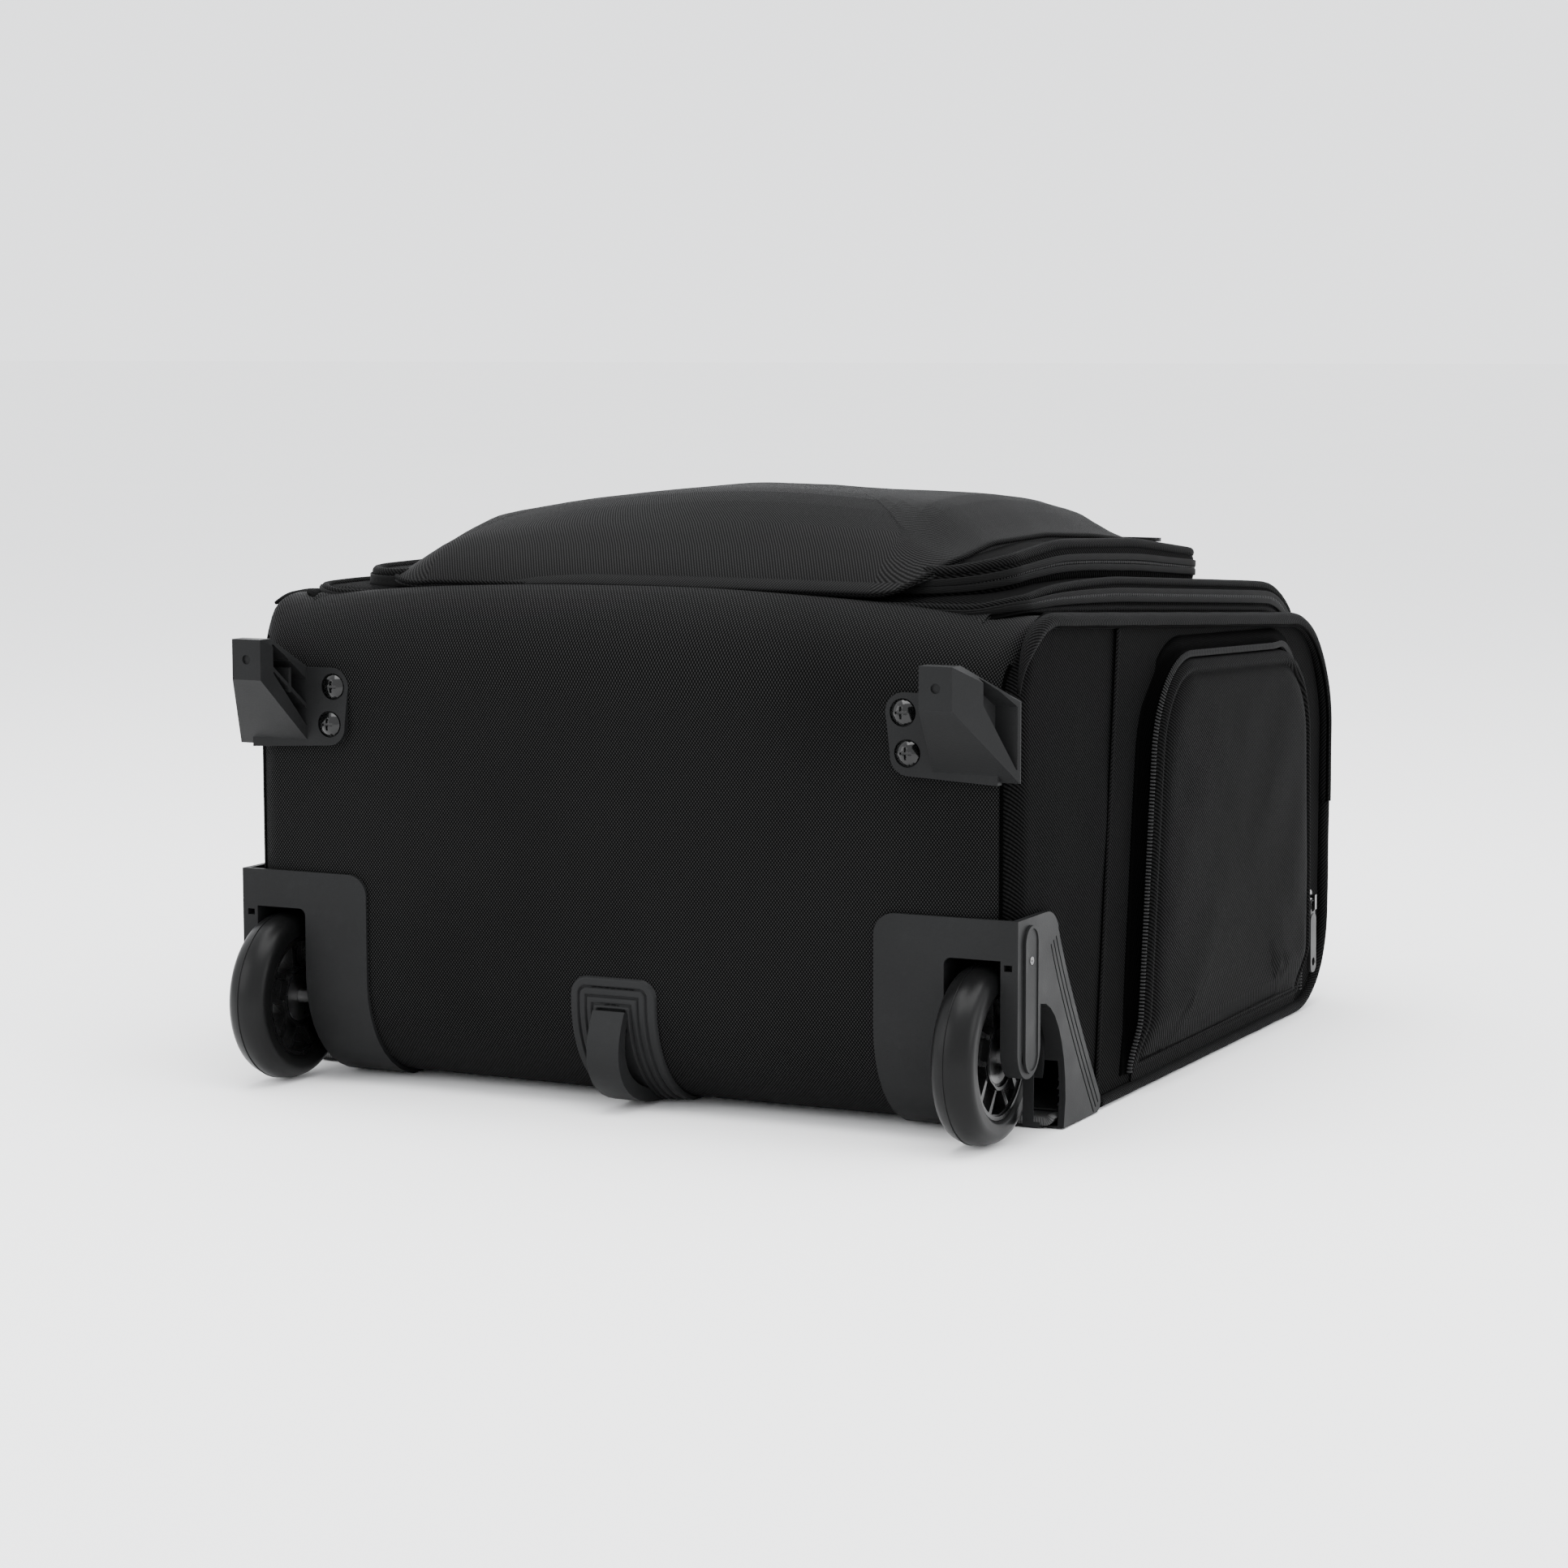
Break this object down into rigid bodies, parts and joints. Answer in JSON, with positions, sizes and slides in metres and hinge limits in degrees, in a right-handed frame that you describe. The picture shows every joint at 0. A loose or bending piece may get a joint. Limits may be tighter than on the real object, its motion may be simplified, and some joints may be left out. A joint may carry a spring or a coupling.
{
  "type": "wheeled crew case",
  "caption": "Soft-sided wheeled crew case lying on its back, with telescopic handle, opening lid, side pocket flap, moulded wheel housings and front feet.",
  "frame": {"origin": "middle of the bottom of the bounding box, on the surface that the case's back lies on", "axes": "+Y runs from the wheeled base to the top with the telescopic handle, +Z points out of the front of the case, +X to the side with the pocket"},
  "size_m": [0.372, 0.4314, 0.254],
  "materials": {
    "ballistic_fabric": "coarse black basket weave",
    "twill_fabric": "fine black diagonal twill, padded",
    "lining_fabric": "grey woven lining",
    "piping_fabric": "black corded piping",
    "handle_fabric": "black padded webbing",
    "housing_plastic": "satin dark grey, fine grain",
    "foot_plastic": "satin dark grey, fine grain",
    "grip_plastic": "satin black",
    "button_plastic": "satin grey",
    "hub_plastic": "glossy black",
    "tyre": "smooth semi-gloss polyurethane",
    "strap_rubber": "satin dark grey",
    "pull_rubber": "satin dark grey",
    "steel": "zinc plated",
    "black_steel": "glossy black",
    "slider_metal": "gunmetal",
    "tube_aluminium": "anodised satin",
    "zip_tape": "black nylon coil on woven tape"
  },
  "bodies": {
    "case": {"back_panel": "twill_fabric", "base_panel": "ballistic_fabric", "top_panel": "twill_fabric", "left_side": "twill_fabric", "right_side": "twill_fabric", "front_rim": "twill_fabric", "back_lining": "lining_fabric", "side_pocket_lining": "lining_fabric", "left_piping": "piping_fabric", "right_piping": "piping_fabric", "left_wheel_housing": "housing_plastic", "right_wheel_housing": "housing_plastic", "left_axle": "steel", "right_axle": "steel", "housing_trims": "housing_plastic", "trim_screws": "steel", "left_foot": "foot_plastic", "right_foot": "foot_plastic", "foot_screws": "black_steel", "base_handle_mount": "strap_rubber", "base_handle_strap": "strap_rubber", "handle_bezel": "housing_plastic", "tube_bracket": "housing_plastic", "outer_tubes": "tube_aluminium", "top_handle_anchors": "strap_rubber", "left_handle_anchors": "strap_rubber", "side_zip_tape": "zip_tape", "lid_zip_tape": "zip_tape", "top_zip_tape": "zip_tape"},
    "left_wheel": {"left_tyre": "tyre", "left_hub": "hub_plastic", "left_bearings": "steel"},
    "right_wheel": {"right_tyre": "tyre", "right_hub": "hub_plastic", "right_bearings": "steel"},
    "handle_middle": {"middle_tubes": "tube_aluminium"},
    "handle_top": {"inner_tubes": "tube_aluminium", "grip": "grip_plastic"},
    "button": {"grip_button": "button_plastic"},
    "top_carry": {"top_handle": "handle_fabric"},
    "left_carry": {"left_handle": "handle_fabric"},
    "lid": {"lid_panel": "twill_fabric", "pocket_b": "twill_fabric", "pocket_a": "twill_fabric"},
    "flap": {"side_flap": "twill_fabric"},
    "side_zip": {"side_slider": "slider_metal"},
    "side_zip_pull": {"side_pull": "pull_rubber"},
    "top_zip": {"top_slider": "slider_metal"},
    "top_zip_pull": {"top_pull": "pull_rubber"},
    "lid_zip_left": {"lid_slider_left": "slider_metal"},
    "lid_zip_pull_left": {"lid_pull_left": "pull_rubber"},
    "lid_zip_right": {"lid_slider_right": "slider_metal"},
    "lid_zip_pull_right": {"lid_pull_right": "pull_rubber"},
    "pocket_zip": {"pocket_slider": "slider_metal"},
    "pocket_zip_pull": {"pocket_pull": "pull_rubber"}
  },
  "joints": [
    {"name": "left_wheel_spin", "type": "hinge", "parent": "case", "child": "left_wheel", "pos_m": [-0.1625, -0.17975, 0.036], "axis": [1, 0, 0], "continuous": true},
    {"name": "right_wheel_spin", "type": "hinge", "parent": "case", "child": "right_wheel", "pos_m": [0.1625, -0.17975, 0.036], "axis": [1, 0, 0], "continuous": true},
    {"name": "handle_stage_1", "type": "slide", "parent": "case", "child": "handle_middle", "axis": [0, 1, 0], "range_m": [0, 0.3]},
    {"name": "handle_stage_2", "type": "slide", "parent": "handle_middle", "child": "handle_top", "axis": [0, 1, 0], "range_m": [0, 0.3]},
    {"name": "grip_button_press", "type": "slide", "parent": "handle_top", "child": "button", "axis": [0, -1, 0], "range_m": [0, 0.003], "stiffness_N_per_m": 250},
    {"name": "top_handle_lift", "type": "slide", "parent": "case", "child": "top_carry", "axis": [0, 1, 0], "range_m": [0, 0.022]},
    {"name": "left_handle_lift", "type": "slide", "parent": "case", "child": "left_carry", "axis": [-1, 0, 0], "range_m": [0, 0.022]},
    {"name": "lid_open", "type": "hinge", "parent": "case", "child": "lid", "pos_m": [0, -0.16125, 0.2062], "axis": [1, 0, 0], "range_deg": [0, 100]},
    {"name": "side_flap_open", "type": "hinge", "parent": "case", "child": "flap", "pos_m": [0.182, -0.18525, 0.009], "axis": [0, 1, 0], "range_deg": [0, 75]},
    {"name": "side_zip_run", "type": "slide", "parent": "case", "child": "side_zip", "axis": [0, -0.0332, 0.9995], "range_m": [0, 0.075]},
    {"name": "side_pull_swing", "type": "hinge", "parent": "side_zip", "child": "side_zip_pull", "pos_m": [0.1836, 0.16605, 0.052], "axis": [0, 0.9995, 0.0332], "range_deg": [-100, 0]},
    {"name": "top_zip_run", "type": "slide", "parent": "case", "child": "top_zip", "axis": [-1, 0, 0], "range_m": [0, 0.075]},
    {"name": "top_pull_swing", "type": "hinge", "parent": "top_zip", "child": "top_zip_pull", "pos_m": [0.17, 0.20935, 0.057], "axis": [1, 0, 0], "range_deg": [0, 100]},
    {"name": "lid_zip_run_left", "type": "slide", "parent": "case", "child": "lid_zip_left", "axis": [-1, 0, 0], "range_m": [0, 0.11]},
    {"name": "lid_pull_swing_left", "type": "hinge", "parent": "lid_zip_left", "child": "lid_zip_pull_left", "pos_m": [-0.016, 0.19671, 0.16787], "axis": [0, 0.5878, -0.809], "range_deg": [0, 120]},
    {"name": "lid_zip_run_right", "type": "slide", "parent": "case", "child": "lid_zip_right", "axis": [1, 0, 0], "range_m": [0, 0.11]},
    {"name": "lid_pull_swing_right", "type": "hinge", "parent": "lid_zip_right", "child": "lid_zip_pull_right", "pos_m": [0.016, 0.19671, 0.16787], "axis": [0, -0.5878, 0.809], "range_deg": [0, 120]},
    {"name": "pocket_zip_run", "type": "slide", "parent": "lid", "child": "pocket_zip", "axis": [-1, 0, 0], "range_m": [0, 0.19]},
    {"name": "pocket_pull_swing", "type": "hinge", "parent": "pocket_zip", "child": "pocket_zip_pull", "pos_m": [0.096, 0.10229, 0.22462], "axis": [0, -0.9979, 0.0645], "range_deg": [0, 120]}
  ]
}
